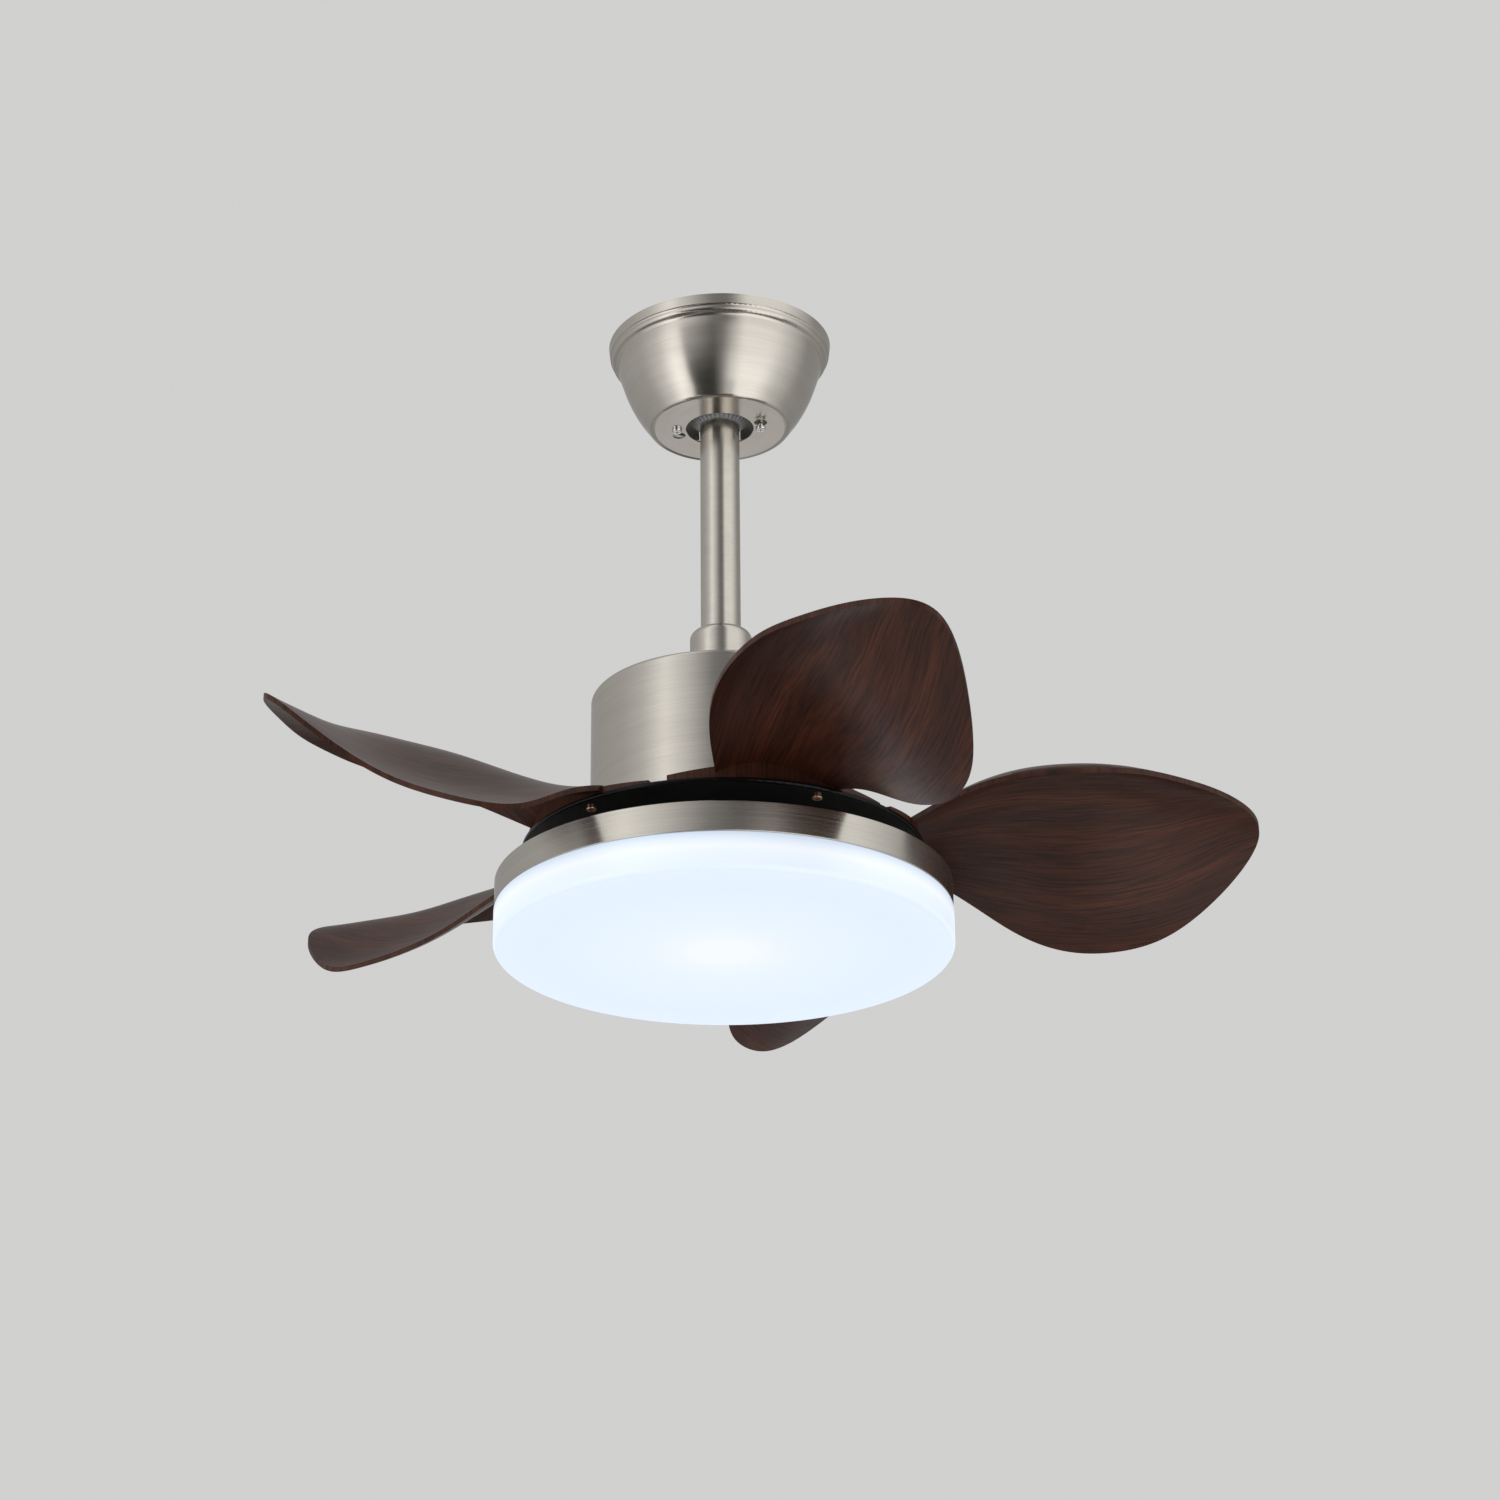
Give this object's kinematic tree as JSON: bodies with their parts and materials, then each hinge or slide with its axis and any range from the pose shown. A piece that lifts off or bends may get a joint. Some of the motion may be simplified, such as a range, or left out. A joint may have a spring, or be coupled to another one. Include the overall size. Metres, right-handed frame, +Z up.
{
  "type": "ceiling fan with light",
  "caption": "Ceiling fan with walnut leaf-shaped blades under a brushed nickel drum, a short downrod, a bowl canopy and a round opal light beneath.",
  "frame": {"origin": "centre of the hanger bracket's top face, on the ceiling, on the downrod's axis", "axes": "+Z up, away from the room; the ceiling slots lie along Y; the first blade points close to +X"},
  "size_m": [0.7559, 0.783, 0.5259],
  "materials": {
    "brushed_nickel": "brushed satin nickel",
    "ring_nickel": "nickel brushed round the band",
    "zinc_steel": "zinc-plated steel",
    "bearing_steel": "ground steel",
    "chrome_screw": "bright plated",
    "brass_screw": "brass plated",
    "copper_screw": "copper-coloured plating",
    "copper_winding": "enamelled copper wire",
    "cast_aluminium": "as cast",
    "laminations": "oiled laminations",
    "gloss_black": "gloss black paint",
    "white_metal": "white powder coat",
    "walnut": "dark walnut veneer under satin lacquer",
    "opal_diffuser": "opal, lit from inside",
    "led_emitter": "phosphor LED packages",
    "black_plastic": "moulded",
    "white_plastic": "moulded",
    "board_green": "solder mask",
    "grey_rubber": "moulded ribs",
    "lead_sheath": "sheathed leads"
  },
  "bodies": {
    "bracket": {"hanger_bracket": "zinc_steel", "earth_screw": "brass_screw", "receiver_box": "black_plastic", "terminal_block": "white_plastic", "canopy_screw_loose": "chrome_screw"},
    "canopy_bowl": {"canopy": "brushed_nickel", "canopy_screw_tight": "chrome_screw"},
    "swing_liner": {"seat_liner": "white_plastic"},
    "rotor": {"rotor_upper_cover": "cast_aluminium", "rotor_lower_cover": "cast_aluminium", "rotor_bolts": "zinc_steel", "magnet_ring": "laminations", "carrier_disc": "gloss_black", "blade_screws": "copper_screw", "upper_bearing_outer": "bearing_steel", "upper_bearing_balls": "bearing_steel", "lower_bearing_outer": "bearing_steel", "lower_bearing_balls": "bearing_steel", "blade_1": "walnut", "blade_2": "walnut", "blade_3": "walnut", "blade_4": "walnut", "blade_5": "walnut"},
    "light_cover": {"diffuser": "opal_diffuser"},
    "drop": {"hanger_ball": "black_plastic", "ball_pin": "zinc_steel", "ball_grub_screw": "zinc_steel", "ball_skirt": "grey_rubber", "downrod": "brushed_nickel", "motor_yoke": "zinc_steel", "yoke_grub_screws": "zinc_steel", "clevis_pin": "zinc_steel", "cotter_pin": "zinc_steel", "coupling_cover": "brushed_nickel", "motor_housing": "brushed_nickel", "motor_mount_plate": "zinc_steel", "housing_screws": "chrome_screw", "hollow_shaft": "zinc_steel", "control_board": "board_green", "control_parts": "black_plastic", "stator_core": "laminations", "stator_coils": "copper_winding", "lead_bundle": "lead_sheath", "light_neck": "zinc_steel", "neck_lock_nut": "zinc_steel", "light_pan": "white_metal", "pan_screws": "zinc_steel", "trim_ring": "ring_nickel", "bayonet_clips": "zinc_steel", "led_board": "white_metal", "led_chips": "led_emitter", "led_driver": "white_plastic", "upper_bearing_inner": "bearing_steel", "lower_bearing_inner": "bearing_steel"}
  },
  "joints": [
    {"name": "canopy_drop", "type": "slide", "parent": "bracket", "child": "canopy_bowl", "axis": [0, 0, 1], "range_m": [-0.06, 0]},
    {"name": "rod_swing_x", "type": "hinge", "parent": "bracket", "child": "swing_liner", "pos_m": [0, 0, -0.046], "axis": [1, 0, 0], "range_deg": [-5, 5]},
    {"name": "rod_swing_y", "type": "hinge", "parent": "swing_liner", "child": "drop", "pos_m": [0, 0, -0.046], "axis": [0, 1, 0], "range_deg": [-5, 5]},
    {"name": "rotor_spin", "type": "hinge", "parent": "drop", "child": "rotor", "pos_m": [0, 0, -0.44], "axis": [0, 0, 1], "continuous": true},
    {"name": "diffuser_twist", "type": "hinge", "parent": "drop", "child": "light_cover", "pos_m": [0, 0, -0.49], "axis": [0, 0, 1], "range_deg": [0, 12]}
  ]
}
